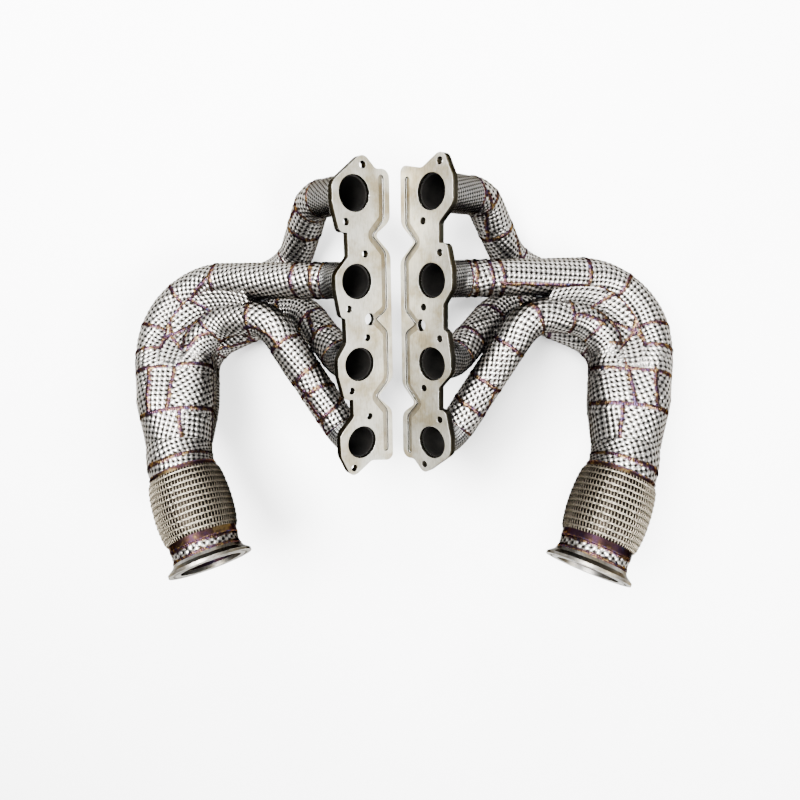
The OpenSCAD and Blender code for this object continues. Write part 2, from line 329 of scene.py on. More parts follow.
def emboss(s, t, theta, rings, cuts, half_period, height, seed):
    """Height, seam and heat values of a foil that is cut into patches.

    s and t are distances along and around the tube. rings are (place, slant, phase) and
    cuts are pairs of (s, t). Each patch has its lattice turned its own way."""
    local = np.random.default_rng(seed)
    patch = np.zeros(s.shape, int)
    nearest = np.full(s.shape, FAR_AWAY)
    along_bead = np.zeros(s.shape)
    for place, slant, phase in rings:
        line = place + slant * np.cos(theta - phase) + SEAM_WANDER * np.sin(5 * theta + phase)
        d = np.abs(s - line)
        along_bead = np.where(d < nearest, t, along_bead)
        nearest = np.minimum(nearest, d)
        patch += s > line
    side_of_cut = np.zeros(s.shape, int)
    for (s0, t0), (s1, t1) in cuts:
        ds, dt = s1 - s0, t1 - t0
        length = math.hypot(ds, dt)
        share = ((s - s0) * ds + (t - t0) * dt) / length ** 2
        wander = SEAM_WANDER * np.sin(share * length / CUT_WAVE + t0)
        off = ((s - s0) * dt - (t - t0) * ds) / length + wander
        past = length * (np.maximum(share - 1, 0) + np.maximum(-share, 0))
        d = np.hypot(off, past)
        along_bead = np.where(d < nearest, share * length, along_bead)
        nearest = np.minimum(nearest, d)
        side_of_cut += (past == 0) & (off > 0)
    patch = patch * PATCHES_A_RING + side_of_cut
    turns = local.uniform(*LATTICE_TURNS, LATTICES) * local.choice([-1, 1], LATTICES)
    shifts = local.uniform(0, LATTICE_SHIFT, LATTICES)
    turn, shift = turns[patch % LATTICES], shifts[patch % LATTICES]
    x = s * np.cos(turn) + t * np.sin(turn) + shift
    y = -s * np.sin(turn) + t * np.cos(turn) + shift
    pattern = np.cos(math.pi * x / half_period) * np.cos(math.pi * y / half_period)
    calm = 1 - beside(nearest, CALM_WIDTH)
    dents = DENT_HEIGHT * np.sin(s / DENT_ALONG + 2 * np.sin(t / DENT_SWAY))
    dents = dents * np.sin(t / DENT_AROUND + seed)
    ripple = 1 - RIPPLE_DEPTH + RIPPLE_DEPTH * np.cos(2 * math.pi * along_bead / BEAD_RIPPLE)
    bead = beside(nearest, BEAD_WIDTH)
    lift = height * pattern * calm + dents + BEAD_HEIGHT * bead * ripple
    return lift, {"height": pattern * calm, "seam": bead, "heat": beside(nearest, HEAT_WIDTH)}


def wrapped(name, side, axis, out, radius, lift, values):
    """Closed foil round an axis: a skin raised by its lift, and its back a little deeper."""
    rows, count = lift.shape
    values["up"] = out[..., 2]
    outer = axis + (radius + lift)[..., None] * out
    inner = axis + np.broadcast_to(radius - FOIL_T, lift.shape)[..., None] * out
    points = np.concatenate([outer, inner[::-1]], axis=0)
    values = {k: np.concatenate([v, v[::-1]], axis=0) for k, v in values.items()}
    return new_mesh_object(name, points, looped_faces(2 * rows, count), side, values)


def foil_tube(name, side, route, start, end, radius, rings, cuts, seed, fine=False):
    """Foil around a bent tube, with a long seam at its back."""
    spacing = FINE_SPACING if fine else FOIL_SPACING
    half_period = FINE_HALF_PERIOD if fine else EMBOSS_HALF_PERIOD
    height = FINE_HEIGHT if fine else EMBOSS_HEIGHT
    centre, across, up, rows = route_rows(route, start, end, spacing)
    at_back = math.pi * radius
    low, high = LONG_SEAM
    cuts = list(cuts) + [((low, way * at_back), (high, way * at_back)) for way in (-1, 1)]
    theta = full_turn(int(2 * math.pi * radius / spacing))
    s, angle = np.meshgrid(rows, theta, indexing="ij")
    t = radius * turned_away(angle)
    lift, values = emboss(s, t, angle, rings, cuts, half_period, height, seed)
    edge = np.minimum(s - rows[0], rows[-1] - s)
    lift = lift * np.clip(edge / EDGE_FADE, 0, 1) ** 0.5
    out = outward(angle, across[:, None], up[:, None])
    return wrapped(name, side, centre[:, None], out, radius, lift, values)


# --- Foil over the collector ---
COLLECTOR_LIP = -20.0
COLLECTOR_COUNT = 350
# Half widths of the flat faces and radii of the corners, at the merge, shoulder and end
SHOULDER_HALF, END_HALF = 20.0, 0.1
MERGE_CORNER_R, SHOULDER_CORNER_R = 20.8, 25.5
COLLECTOR_FOIL_OUT = 1.65
LOBE_OUT = 0.8
VALLEY_IN = 1.0
HUG_LEN = 34.0


def from_face(phi):
    """The angle from the middle of a square's nearest face: 0 there, and pi/4 at a corner."""
    return np.abs(turned_away(phi * 4) / 4)


def corner_circle(phi, half, radius):
    """Distance to a circle about a square's corner, and what is under the square root."""
    c = half * math.sqrt(2)
    q = math.pi / 4 - from_face(phi)
    inside = radius ** 2 - (c * np.sin(q)) ** 2
    return c * np.cos(q) + np.sqrt(np.maximum(inside, 0)), inside


def rounded_square(phi, half, corner):
    """Distance from the middle to a square with round corners, in direction phi."""
    a = from_face(phi)
    face = (half + corner) / np.cos(a)
    round_part, _ = corner_circle(phi, half, corner)
    return np.where((half + corner) * np.tan(a) <= half, face, round_part)


def lobed(phi, half, lobe):
    """Distance to four round lobes at the corners of a square, with valleys between."""
    far, inside = corner_circle(phi, half, lobe)
    valley = half - VALLEY_IN
    return np.where(inside > 0, np.maximum(far, valley), valley)


def collector_foil(name, side, start, end, rings, cuts, seed):
    """Foil over the merge collector. It hugs the four runners at the top and ends round."""
    rows = np.linspace(start, end, int((end - start) / FOIL_SPACING) + 1)
    s, angle = np.meshgrid(rows, full_turn(COLLECTOR_COUNT), indexing="ij")
    f_top = np.clip(s / SHOULDER_AT, 0, 1)
    f_low = np.clip((s - SHOULDER_AT) / (COLLECTOR_LEN - SHOULDER_AT), 0, 1)
    half = (MERGE_HALF + (SHOULDER_HALF - MERGE_HALF) * f_top
            + (END_HALF - SHOULDER_HALF) * f_low)
    corner = (MERGE_CORNER_R + (SHOULDER_CORNER_R - MERGE_CORNER_R) * f_top
              + (OUTLET_R - SHOULDER_CORNER_R) * f_low + COLLECTOR_FOIL_OUT)
    base = rounded_square(angle, half, corner)
    top = lobed(angle, MERGE_HALF, WRAP_R + LOBE_OUT)
    w = np.clip((s - COLLECTOR_LIP) / HUG_LEN, 0, 1)
    w = w * w * (3 - 2 * w)
    radius = top + (base - top) * w
    step = 2 * math.pi / COLLECTOR_COUNT
    slope = np.gradient(radius, step, axis=1)
    around = np.cumsum(np.sqrt(radius ** 2 + slope ** 2) * step, axis=1)
    t = around - around[:, COLLECTOR_COUNT // 4][:, None]
    lift, values = emboss(s, t, angle, rings, cuts, EMBOSS_HALF_PERIOD, EMBOSS_HEIGHT, seed)
    out = outward(angle, MERGE_ACROSS, MERGE_UP)
    axis = COLLECTOR_TOP + s[..., None] * COLLECTOR_DIR
    return wrapped(name, side, axis, out, radius, lift, values)


# --- Foil webs between the runners ---
WEB_FOOT = -14.0
WEB_COLUMNS = 60
WEB_T = 1.2
WEB_OUT = 0.2
# The edges start near the runners' tops, and come down their flanks further up.
WEB_LEANS, WEB_LEAN_LEN = (6, 40), 58
WEB_SAG, WEB_SAG_LEN = 3.5, 42
WEB_FADE = 12
WEB_BEAD_FROM = 46
WEB_BEAD_HEIGHT = 0.8
# Each web: two runners, the way it faces, and how far it reaches up each of them.
WEBS = ((2, 4, MERGE_UP, 196.0, 134.0), (1, 2, -MERGE_ACROSS, 56.0, 56.0),
        (3, 4, MERGE_ACROSS, 42.0, 42.0), (1, 3, -MERGE_UP, 42.0, 42.0))


def from_end(route, distances):
    """Points on a route, measured back from its end. Less than 0 is beyond the end."""
    points, directions = centreline(route)
    along = distances_along(points)
    place = read_along(points, along, along[-1] - np.maximum(distances, 0))
    return place + np.maximum(-distances, 0)[:, None] * directions[-1]


def web_foil(name, side, web, cuts, seed):
    """Foil drawn over the valley between two runners, down to the collector."""
    first, second, facing_way, first_reach, second_reach = web
    share = np.linspace(0, 1, max(40, int(first_reach)))
    run_up = share * (first_reach - WEB_FOOT)
    front = from_end(ROUTES[first - 1], WEB_FOOT + run_up)
    inner = from_end(ROUTES[second - 1], WEB_FOOT + share * (second_reach - WEB_FOOT))
    middle = (front + inner) / 2
    apart = inner - front
    width = np.linalg.norm(apart, axis=1, keepdims=True)
    apart = apart / width
    normal = np.cross(apart, np.gradient(middle, axis=0))
    normal *= np.sign(normal @ facing_way)[:, None]
    normal /= np.linalg.norm(normal, axis=1, keepdims=True)
    lean = np.radians(np.interp(run_up, [0, WEB_LEAN_LEN], WEB_LEANS))[:, None]
    edge = WRAP_R + WEB_OUT
    reach = edge * np.sin(lean)
    u = np.linspace(0, 1, WEB_COLUMNS)[None]
    from_side = np.minimum(u, 1 - u)
    across = reach + u * (width - 2 * reach)
    sag = np.interp(run_up, [0, WEB_SAG_LEN], [0, WEB_SAG])[:, None] * np.sin(math.pi * u)
    height = edge * np.cos(lean) - sag
    s = np.broadcast_to(distances_along(middle)[:, None] + WEB_FOOT, across.shape)
    t = across - width / 2
    lift, values = emboss(s, t, 0 * s, [], cuts, EMBOSS_HALF_PERIOD, EMBOSS_HEIGHT, seed)
    side_bead = beside(from_side * (width - 2 * reach), BEAD_WIDTH)
    side_bead = side_bead * (run_up > WEB_BEAD_FROM)[:, None]
    values["seam"] = np.maximum(values["seam"], side_bead)
    values["up"] = np.broadcast_to(normal[:, 2:], s.shape)
    lift = lift * np.clip(from_side * WEB_FADE, 0, 1) + WEB_BEAD_HEIGHT * side_bead
    top = (front[:, None] + across[..., None] * apart[:, None]
           + (height + lift)[..., None] * normal[:, None])
    under = top - WEB_T * normal[:, None]
    points = np.concatenate([top, under[:, ::-1]], axis=1)
    values = {k: np.concatenate([v, v[:, ::-1]], axis=1) for k, v in values.items()}
    rows, count = points.shape[:2]
    k = np.arange(WEB_COLUMNS - 1)
    foot = np.stack([k, k + 1, count - 2 - k, count - 1 - k], axis=-1)
    head = foot[:, ::-1] + (rows - 1) * count
    faces = np.concatenate([ring_faces(rows, count), foot, head])
    return new_mesh_object(name, points, faces, side, values)


# --- Wires and weld beads ---
# A direction that no wire follows
WIRE_POLE = FLEX_DIR * 0.8 + np.array([0.3, 0.2, -0.5])
BEAD_STEP = 0.7
SCALLOP_LEN = 2.4
BEAD_SIDES = 8


def swept(paths, radius, sides, closed):
    """Round wires along paths of equal length. paths is wires x points x 3."""
    paths = np.asarray(paths, float)
    wires, count = paths.shape[:2]
    radius = np.broadcast_to(np.asarray(radius, float), (wires, count))
    if closed:
        ahead = np.roll(paths, -1, axis=1) - np.roll(paths, 1, axis=1)
    else:
        ahead = np.gradient(paths, axis=1)
    ahead /= np.linalg.norm(ahead, axis=-1, keepdims=True)
    pole = np.broadcast_to(WIRE_POLE, ahead.shape)
    n = pole - (pole * ahead).sum(-1, keepdims=True) * ahead
    n /= np.linalg.norm(n, axis=-1, keepdims=True)
    b = np.cross(ahead, n)
    circle = outward(full_turn(sides), n[:, :, None], b[:, :, None])
    points = paths[:, :, None] + radius[:, :, None, None] * circle
    one = looped_faces(count, sides) if closed else ring_faces(count, sides)
    faces = [one + w * count * sides for w in range(wires)]
    return points.reshape(-1, 3), np.concatenate(faces)


def around_axis(centre, direction, radius, z, angle):
    """Points at a radius, a height and an angle about an axis."""
    x = unit(UP - (UP @ direction) * direction)
    y = np.cross(direction, x)
    return centre + z[..., None] * direction + radius[..., None] * outward(angle, x, y)


def weld_bead(name, side, centre, direction, ring_r, bead_r, seed):
    """A ring of weld: a rope of overlapping scallops."""
    count = int(2 * math.pi * ring_r / BEAD_STEP)
    q = full_turn(count)
    local = np.random.default_rng(seed)
    wobble = 0.25 * np.sin(3 * q + local.uniform(0, 6)) + 0.15 * np.sin(11 * q)
    scallops = 0.5 + 0.5 * np.cos(2 * math.pi * ring_r * q / SCALLOP_LEN)
    path = around_axis(centre, direction, np.full(count, ring_r), wobble, q)[None]
    thickness = (bead_r * (0.8 + 0.25 * scallops))[None]
    points, faces = swept(path, thickness, BEAD_SIDES, True)
    return new_mesh_object(name, points, faces, side)


# --- Knitted braid ---
BRAID_GAP = 0.5
BRAID_MARGIN = 1.5
BRAID_FULLNESS = 0.45
BRAID_ROWS = 11
ROW_PITCH = (BRAID_LEN - 2 * BRAID_MARGIN) / BRAID_ROWS
# Depths of the fabric's two faces under the knit, and its ribs
FABRIC_TOP, FABRIC_BACK, FABRIC_RIB = 1.5, 2.0, 0.25
FABRIC_ROWS, FABRIC_COUNT = 50, 300
HOOP_R = 0.45
HOOP_APART = 0.5
HOOP_COUNT = 330
HOOP_SIDES = 6
BRAID_WIRES = 76
WIRE_R = 0.55
WIRE_DEEP = 0.9
WIRE_STEP = 0.9
WIRE_SIDES = 5
# How far wires stay inside the ends of their half
HALF_INSET = 0.3
# What the braid's material tells apart
FABRIC_KIND, WIRE_KIND, HOOP_KIND = 0.0, 0.78, 1.0


def braid_radius(z):
    share = np.clip((z - BRAID_GAP) / (BRAID_LEN - 2 * BRAID_GAP), 0, 1)
    return BRAID_END_R + (BRAID_R - BRAID_END_R) * np.sin(math.pi * share) ** BRAID_FULLNESS


def around_flex(radius, z, angle):
    return around_axis(FLEX_START, FLEX_DIR, radius, z, angle)


def away_from_flex(points):
    """How far up each point faces, seen from the flexible joint's axis."""
    off = points - FLEX_START
    off = off - (off @ FLEX_DIR)[:, None] * FLEX_DIR
    return off[:, 2] / np.linalg.norm(off, axis=1)


def braid_fabric(low, high):
    """Fabric of fine wire under the knit. Its near-black colour, set in the braid's material, is
    painted shade in the gaps of the knit.
    """
    rows = np.linspace(low, high, FABRIC_ROWS)
    z, angle = np.meshgrid(rows, full_turn(FABRIC_COUNT), indexing="ij")
    weave = FABRIC_RIB * np.sin(angle * 100) * np.sin(z * 2.2)
    outer = around_flex(braid_radius(z) - FABRIC_TOP + weave, z, angle)
    inner = around_flex(braid_radius(z) - FABRIC_BACK, z, angle)
    points = np.concatenate([outer, inner[::-1]], axis=0).reshape(-1, 3)
    return points, looped_faces(2 * FABRIC_ROWS, FABRIC_COUNT), FABRIC_KIND


def braid_hoops(low, high):
    """Wavy rings of wire, two to each row of the knit."""
    q = full_turn(HOOP_COUNT)
    hoops = []
    for k in range(BRAID_ROWS):
        for pair in (-1, 1):
            mid = BRAID_MARGIN + ROW_PITCH * (k + 0.5) + pair * HOOP_APART
            if not low + 0.4 <= mid <= high - 0.4:
                continue
            wave = 0.35 * np.sin(q * BRAID_WIRES / 2 + pair) + 0.5 * np.sin(2 * q + k)
            edge = 0.25 * np.cos(q * BRAID_WIRES / 2 + k)
            z = np.clip(mid + wave * 0.9, low + HALF_INSET, high - HALF_INSET)
            path = around_flex(braid_radius(z) - HOOP_R * 0.4 + edge, z, q)[None]
            hoops.append((*swept(path, HOOP_R, HOOP_SIDES, True), HOOP_KIND))
    return hoops


def braid_wires(low, high):
    """Wires that run along the joint and dive under the hoops."""
    z = np.linspace(low + HALF_INSET, high - HALF_INSET, int((high - low) / WIRE_STEP))
    starts = full_turn(BRAID_WIRES)
    through_row = 2 * math.pi * (z - BRAID_MARGIN) / ROW_PITCH
    lean = 0.25 * np.sin(through_row)
    angle = starts[:, None] + (lean / BRAID_R)[None] + 0.012 * np.sin(starts * 7)[:, None]
    dive = 0.75 * np.cos(through_row)
    radius = np.broadcast_to(braid_radius(z) - WIRE_DEEP + dive * 0.5, angle.shape)
    path = around_flex(radius, np.broadcast_to(z, angle.shape), angle)
    return *swept(path, WIRE_R, WIRE_SIDES, False), WIRE_KIND


def braid(name, side, low, high):
    """Knitted wire over half of a flexible joint."""
    parts = [braid_fabric(low, high), *braid_hoops(low, high), braid_wires(low, high)]
    points = np.concatenate([part_points for part_points, _, _ in parts])
    faces, kinds, offset = [], [], 0
    for part_points, part_faces, kind in parts:
        faces.append(part_faces + offset)
        kinds.append(np.full(len(part_points), kind))
        offset += len(part_points)
    return new_mesh_object(name, points, np.concatenate(faces), side,
                           {"height": np.concatenate(kinds), "up": away_from_flex(points)})


# --- Materials ---
def new_material(name):
    material = bpy.data.materials.new(name)
    material.use_nodes = True
    return material, material.node_tree, material.node_tree.nodes["Principled BSDF"]


def add(nt, kind, **settings):
    node = nt.nodes.new(kind)
    for key, value in settings.items():
        setattr(node, key, value)
    return node


def feed(nt, socket, value):
    """Links a node's output to a socket, or sets the socket to a value."""
    if isinstance(value, bpy.types.NodeSocket):
        nt.links.new(value, socket)
    else:
        socket.default_value = value


def grey(level):
    return (level,) * 3


def noise(nt, vector, scale, detail=4.0, rough=0.6):
    node = add(nt, "ShaderNodeTexNoise")
    node.inputs["Scale"].default_value = scale
    node.inputs["Detail"].default_value = detail
    node.inputs["Roughness"].default_value = rough
    nt.links.new(vector, node.inputs["Vector"])
    return node.outputs["Fac"]


def ramp(nt, value, stops):
    """A colour that follows a value, through stops of (place, colour)."""
    node = add(nt, "ShaderNodeValToRGB")
    elements = node.color_ramp.elements
    while len(elements) < len(stops):
        elements.new(0.5)
    for element, (place, colour) in zip(elements, stops):
        element.position = place
        element.color = (*colour, 1)
    nt.links.new(value, node.inputs["Fac"])
    return node.outputs["Color"]


def mix(nt, factor, a, b, blend="MIX"):
    node = add(nt, "ShaderNodeMix", data_type="RGBA", blend_type=blend)
    for socket, value in ((node.inputs[0], factor), (node.inputs[6], a), (node.inputs[7], b)):
        feed(nt, socket, (*value, 1) if isinstance(value, tuple) else value)
    return node.outputs[2]


def math_node(nt, operation, *values, clamp=False):
    node = add(nt, "ShaderNodeMath", operation=operation, use_clamp=clamp)
    for socket, value in zip(node.inputs, values):
        feed(nt, socket, value)
    return node.outputs[0]


def dot(nt, a, b):
    node = add(nt, "ShaderNodeVectorMath", operation="DOT_PRODUCT")
    feed(nt, node.inputs[0], a)
    feed(nt, node.inputs[1], b)
    return node.outputs["Value"]


def attribute(nt, name):
    return add(nt, "ShaderNodeAttribute", attribute_name=name).outputs["Fac"]


def object_coordinates(nt):
    return add(nt, "ShaderNodeTexCoord").outputs["Object"]


def true_normal(nt):
    return add(nt, "ShaderNodeNewGeometry").outputs["True Normal"]


def bump(nt, shader, height, strength, distance):
    node = add(nt, "ShaderNodeBump")
    node.inputs["Strength"].default_value = strength
    node.inputs["Distance"].default_value = distance
    nt.links.new(height, node.inputs["Height"])
    nt.links.new(node.outputs["Normal"], shader.inputs["Normal"])
    return node


# Dull oxide takes the shine off metal that is seen edge on.
EDGE_TINT = (0.35, 0.34, 0.32, 1.0)
GOLD = (0.13, 0.085, 0.035)
BROWN = (0.034, 0.018, 0.011)
PURPLE = (0.024, 0.011, 0.020)
BLUE = (0.018, 0.019, 0.040)
STAIN = (0.55, 0.47, 0.38)
STRAW = (0.80, 0.60, 0.36)
SPECK = (0.85, 0.62, 0.38)
WORN_WIRE = (0.60, 0.52, 0.40)
FLANGE_STAIN = (0.60, 0.54, 0.42)
# The next colour is a painted highlight on edges; the two after it are painted shade in recesses.
EDGE_HIGHLIGHT = (0.62, 0.61, 0.57)
DEEP_RECESS_SHADE = (0.2, 0.19, 0.17)
RECESS_SHADE = (0.50, 0.47, 0.42)
BLACK = grey(0.0)
WHITE = grey(1.0)


def tint_colours(nt, where, scale):
    """Purple, brown, blue and gold of steel that has been welded."""
    return ramp(nt, noise(nt, where, scale, 3.0),
                [(0.30, BLUE), (0.42, PURPLE), (0.56, BROWN), (0.64, GOLD), (0.72, BROWN)])


def painted_side_shade(nt, up, colour, darkest=0.08):
    """The colour, darkened by painted shade on what faces sideways and down."""
    half_up = math_node(nt, "MULTIPLY_ADD", up, 0.5, 0.5)
    dull = ramp(nt, half_up, [(0.40, grey(darkest)), (0.68, grey(0.25 + darkest)),
                              (0.92, WHITE)])
    return mix(nt, 1.0, colour, dull, "MULTIPLY")


def finish_metal(nt, shader, colour, rough_from, rough_to, rough_by):
    """Metal of a colour, dull at its edges. Its roughness follows a value."""
    nt.links.new(colour, shader.inputs["Base Color"])
    shader.inputs["Metallic"].default_value = 1.0
    shader.inputs["Specular Tint"].default_value = EDGE_TINT
    rough = ramp(nt, rough_by, [(0.3, grey(rough_from)), (0.8, grey(rough_to))])
    nt.links.new(rough, shader.inputs["Roughness"])


def foil_material(name, bright, low, tint=1.0):
    """Embossed foil: painted shade in its hollows and on what faces sideways and down, browned
    beside its seams and in specks.
    """
    material, nt, shader = new_material(name)
    where = object_coordinates(nt)
    bumps = math_node(nt, "MULTIPLY_ADD", attribute(nt, "height"), 0.5, 0.5)
    # The hollows of the embossing fade to near black: painted shade.
    metal = ramp(nt, bumps, [(0.18, low), (0.42, tuple(0.3 * c for c in bright)), (0.64, bright)])
    stain = noise(nt, where, 55.0, 5.0)
    metal = mix(nt, math_node(nt, "MULTIPLY", stain, 0.35), metal, STAIN, "MULTIPLY")
    heat = math_node(nt, "MULTIPLY", attribute(nt, "heat"), 1.2 * tint, clamp=True)
    patchy = math_node(nt, "MULTIPLY", stain, 1.5, clamp=True)
    heat = math_node(nt, "MULTIPLY", heat, patchy, clamp=True)
    metal = mix(nt, heat, metal, mix(nt, 1.0, metal, STRAW, "MULTIPLY"))
    specks = ramp(nt, noise(nt, where, 420.0, 2.0), [(0.60, BLACK), (0.72, grey(0.55))])
    metal = mix(nt, specks, metal, mix(nt, 1.0, metal, SPECK, "MULTIPLY"))
    seam = math_node(nt, "MULTIPLY", attribute(nt, "seam"), 2.2 * tint, clamp=True)
    colour = mix(nt, seam, metal, tint_colours(nt, where, 190.0))
    # Painted shade on what faces sideways and down.
    colour = painted_side_shade(nt, attribute(nt, "up"), colour)
    finish_metal(nt, shader, colour, 0.22, 0.40, noise(nt, where, 300.0))
    bump(nt, shader, noise(nt, where, 900.0, 2.0), 0.12, 0.0003)
    return material


def braid_material():
    material, nt, shader = new_material("wire_braid")
    where = object_coordinates(nt)
    # The fabric's near-black colour is painted shade in the gaps of the knit.
    colour = ramp(nt, attribute(nt, "height"),
                  [(FABRIC_KIND, (0.006, 0.005, 0.004)), (WIRE_KIND, (0.17, 0.150, 0.118)),
                   (HOOP_KIND, (0.36, 0.33, 0.27))])
    wear_and_edge_highlight = noise(nt, where, 240.0, 4.0)
    colour = mix(nt, math_node(nt, "MULTIPLY", wear_and_edge_highlight, 0.7), colour, WORN_WIRE, "MULTIPLY")
    # Painted shade on what faces sideways and down from the joint's axis.
    colour = painted_side_shade(nt, attribute(nt, "up"), colour, 0.05)
    finish_metal(nt, shader, colour, 0.28, 0.45, wear_and_edge_highlight)
    bump(nt, shader, noise(nt, where, 1500.0, 2.0), 0.2, 0.0002)
    return material


def painted_recess_shade(nt, where, face, plane):
    """Painted shade: darker where the surface lies more than a millimetre below a face."""
    sunk = math_node(nt, "MULTIPLY_ADD", dot(nt, where, tuple(face)), -300.0, 300.0 * plane)
    return ramp(nt, sunk, [(0.15, WHITE), (0.45, RECESS_SHADE), (0.95, RECESS_SHADE), (1.0, DEEP_RECESS_SHADE)])


def machined_material(name, colour, dark, streak_scale, face, rough=0.34, plane=None):
    """Machined steel with fine streaks and stains, painted highlights on its edges, and painted
    shade on what faces away from its face and, given a plane, on what lies below it.
    """
    material, nt, shader = new_material(name)
    where = object_coordinates(nt)
    stretch = add(nt, "ShaderNodeMapping")
    stretch.inputs["Scale"].default_value = streak_scale
    nt.links.new(where, stretch.inputs["Vector"])
    streaks = noise(nt, stretch.outputs["Vector"], 90.0, 6.0, 0.7)
    stains = noise(nt, where, 22.0, 5.0, 0.65)
    base = ramp(nt, streaks, [(0.25, dark), (0.55, colour), (0.85, colour)])
    stained = ramp(nt, stains, [(0.42, BLACK), (0.62, WHITE)])
    base = mix(nt, stained, base, FLANGE_STAIN, "MULTIPLY")
    # Painted shade on what faces away from the face.
    base = painted_side_shade(nt, dot(nt, true_normal(nt), tuple(face)), base, 0.06)
    if plane is not None:
        # Painted shade in the grooves and holes below the face.
        base = mix(nt, 1.0, base, painted_recess_shade(nt, where, face, plane), "MULTIPLY")
    # Painted highlight: edges, where the rounded normal turns from the true one, are mixed towards
    # a bright grey.
    soft_edge = add(nt, "ShaderNodeBevel", samples=4)
    soft_edge.inputs["Radius"].default_value = 0.5 * MM
    turned = dot(nt, soft_edge.outputs["Normal"], true_normal(nt))
    wear_and_edge_highlight = ramp(nt, turned, [(0.80, grey(0.9)), (0.985, BLACK)])
    base = mix(nt, wear_and_edge_highlight, base, EDGE_HIGHLIGHT)
    finish_metal(nt, shader, base, rough + 0.14, rough, streaks)
    node = bump(nt, shader, streaks, 0.10, 0.0004)
    nt.links.new(soft_edge.outputs["Normal"], node.inputs["Normal"])
    return material


def tinted_material(name, scale, dark=1.0):
    """Steel with the colours of welding heat."""
    material, nt, shader = new_material(name)
    where = object_coordinates(nt)
    colour = mix(nt, 1.0, tint_colours(nt, where, scale), grey(dark), "MULTIPLY")
    finish_metal(nt, shader, colour, 0.30, 0.48, noise(nt, where, 400.0))
    bump(nt, shader, noise(nt, where, 700.0, 3.0), 0.25, 0.0004)
    return material


def soot_material():
    """The inside of a pipe: dark, dull, with brown patches."""
    material, nt, shader = new_material("sooty_pipe")
    where = object_coordinates(nt)
    nt.links.new(ramp(nt, noise(nt, where, 60.0, 5.0),
                      [(0.3, (0.002, 0.0018, 0.0016)), (0.7, (0.008, 0.007, 0.006))]),
                 shader.inputs["Base Color"])
    shader.inputs["Metallic"].default_value = 0.7
    shader.inputs["Roughness"].default_value = 0.5
    bump(nt, shader, noise(nt, where, 500.0, 3.0), 0.3, 0.0004)
    return material


FOIL = foil_material("embossed_foil", (0.36, 0.35, 0.335), (0.004, 0.0035, 0.003))
FINE_FOIL = foil_material("fine_foil", (0.16, 0.16, 0.158), (0.005, 0.005, 0.0049), 0.8)
BRAID = braid_material()
FLANGES = {side: machined_material(f"machined_flange_{side}", (0.50, 0.485, 0.425),
                                   (0.30, 0.288, 0.25), (6, 1, 6),
                                   FACE_NORMAL * (1 if side == "left" else -1, 1, 1),
                                   plane=float(FACE_AT @ FACE_NORMAL))
           for side in SIDES}
V_BAND = machined_material("turned_v_band", (0.26, 0.25, 0.235), (0.10, 0.095, 0.085), (5, 1, 1),
                           (0, 0, 1), 0.24)
WELD = tinted_material("weld_bead", 260.0)
COLLAR = tinted_material("brown_collar", 60.0, 0.4)
OUTLET = tinted_material("gold_pipe", 30.0, 0.5)
SOOT = soot_material()


def paint(obj, material):
    obj.data.materials.clear()
    obj.data.materials.append(material)
    return obj


# --- Seams, in millimetres along each runner ---
SEAM_PLACES = {
    "left": ((96, 132, 190, 250, 320, 400), (67, 89, 208, 262, 318), (78, 118, 176, 232, 290),
             (66, 93, 120, 165, 226, 290)),
    "right": ((92, 140, 196, 262, 330, 404), (64, 78, 92, 204, 256, 322), (74, 124, 170, 226, 286),
              (72, 108, 160, 206, 250, 296)),
}
# Cuts are pairs of (along, around). OWN_CUTS take the place of a runner's random ones.
OWN_CUTS = {("left", 2): [((208, 14), (262, -12))], ("right", 2): [((92, 2), (204, -4))]}
WEB_CUTS = (((8, 22), (38, -6)), ((38, -6), (70, -24)), ((8, -20), (38, -6)), ((38, -6), (66, 22)),
            ((92, -20), (96, 22)))
COLLECTOR_SEAMS = {"left": (-18, 9, 65), "right": (-18, 14, 58)}
PAST_COLLECTOR = 110.0
SLEEVE_START = SOCKET_DEEP + 2
PORT_BEAD_AT, PORT_BEAD_RING_R, PORT_BEAD_R = 0.9, 21.6, 1.1
NECK_BARE = 9.5
OUTLET_WRAP_AT, OUTLET_WRAP_LEN, V_BAND_BARE = 89.5, 14.3, 13.15
OUTLET_BEAD_R = 1.2


def seam_rings(places, seed):
    """Each ring's place, slant and phase."""
    local = np.random.default_rng(seed)
    return [(p, local.uniform(0.5, 5.0), local.uniform(0, 2 * math.pi)) for p in places]


def seam_cuts(places, seed):
    """Seams that run along or across the runner from one ring to the next."""
    local = np.random.default_rng(seed)
    cuts = []
    for low, high in zip(places[:-1], places[1:]):
        if local.random() < 0.7:
            t = local.uniform(-20, 20)
            cuts.append(((low, t), (high, t + local.uniform(-22, 22))))
    return cuts


def wrap_runner(side, i, route, turn):
    """A runner's fine sleeve, its foil and the weld at its port."""
    manifold = side + "_manifold"
    end = SLEEVE_ENDS[i - 1]
    sleeve = foil_tube(f"{side}_sleeve_foil_{i}", side, route, SLEEVE_START, end,
                       WRAP_R, [], [], turn + i, fine=True)
    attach(paint(sleeve, FINE_FOIL), manifold)
    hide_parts(f"{side}_stub_sleeve_{i}")
    places = SEAM_PLACES[side][i - 1]
    length = route_length(route)
    rings = [(end + 0.8, 0, 0)] + seam_rings(places, turn + i)
    cuts = OWN_CUTS.get((side, i)) or seam_cuts((end,) + places + (length,), turn + 9 * i)
    wrap = foil_tube(f"{side}_runner_foil_{i}", side, route, end + GAP, length,
                     WRAP_R, rings, cuts, turn + 10 + i)
    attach(paint(wrap, FOIL), manifold)
    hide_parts(f"{side}_runner_wrap_{i}")
    bead = weld_bead(f"{side}_port_weld_{i}", side, stub_end(i, PORT_BEAD_AT), -FACE_NORMAL,
                     PORT_BEAD_RING_R, PORT_BEAD_R, turn + 20 + i)
    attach(paint(bead, WELD), manifold)


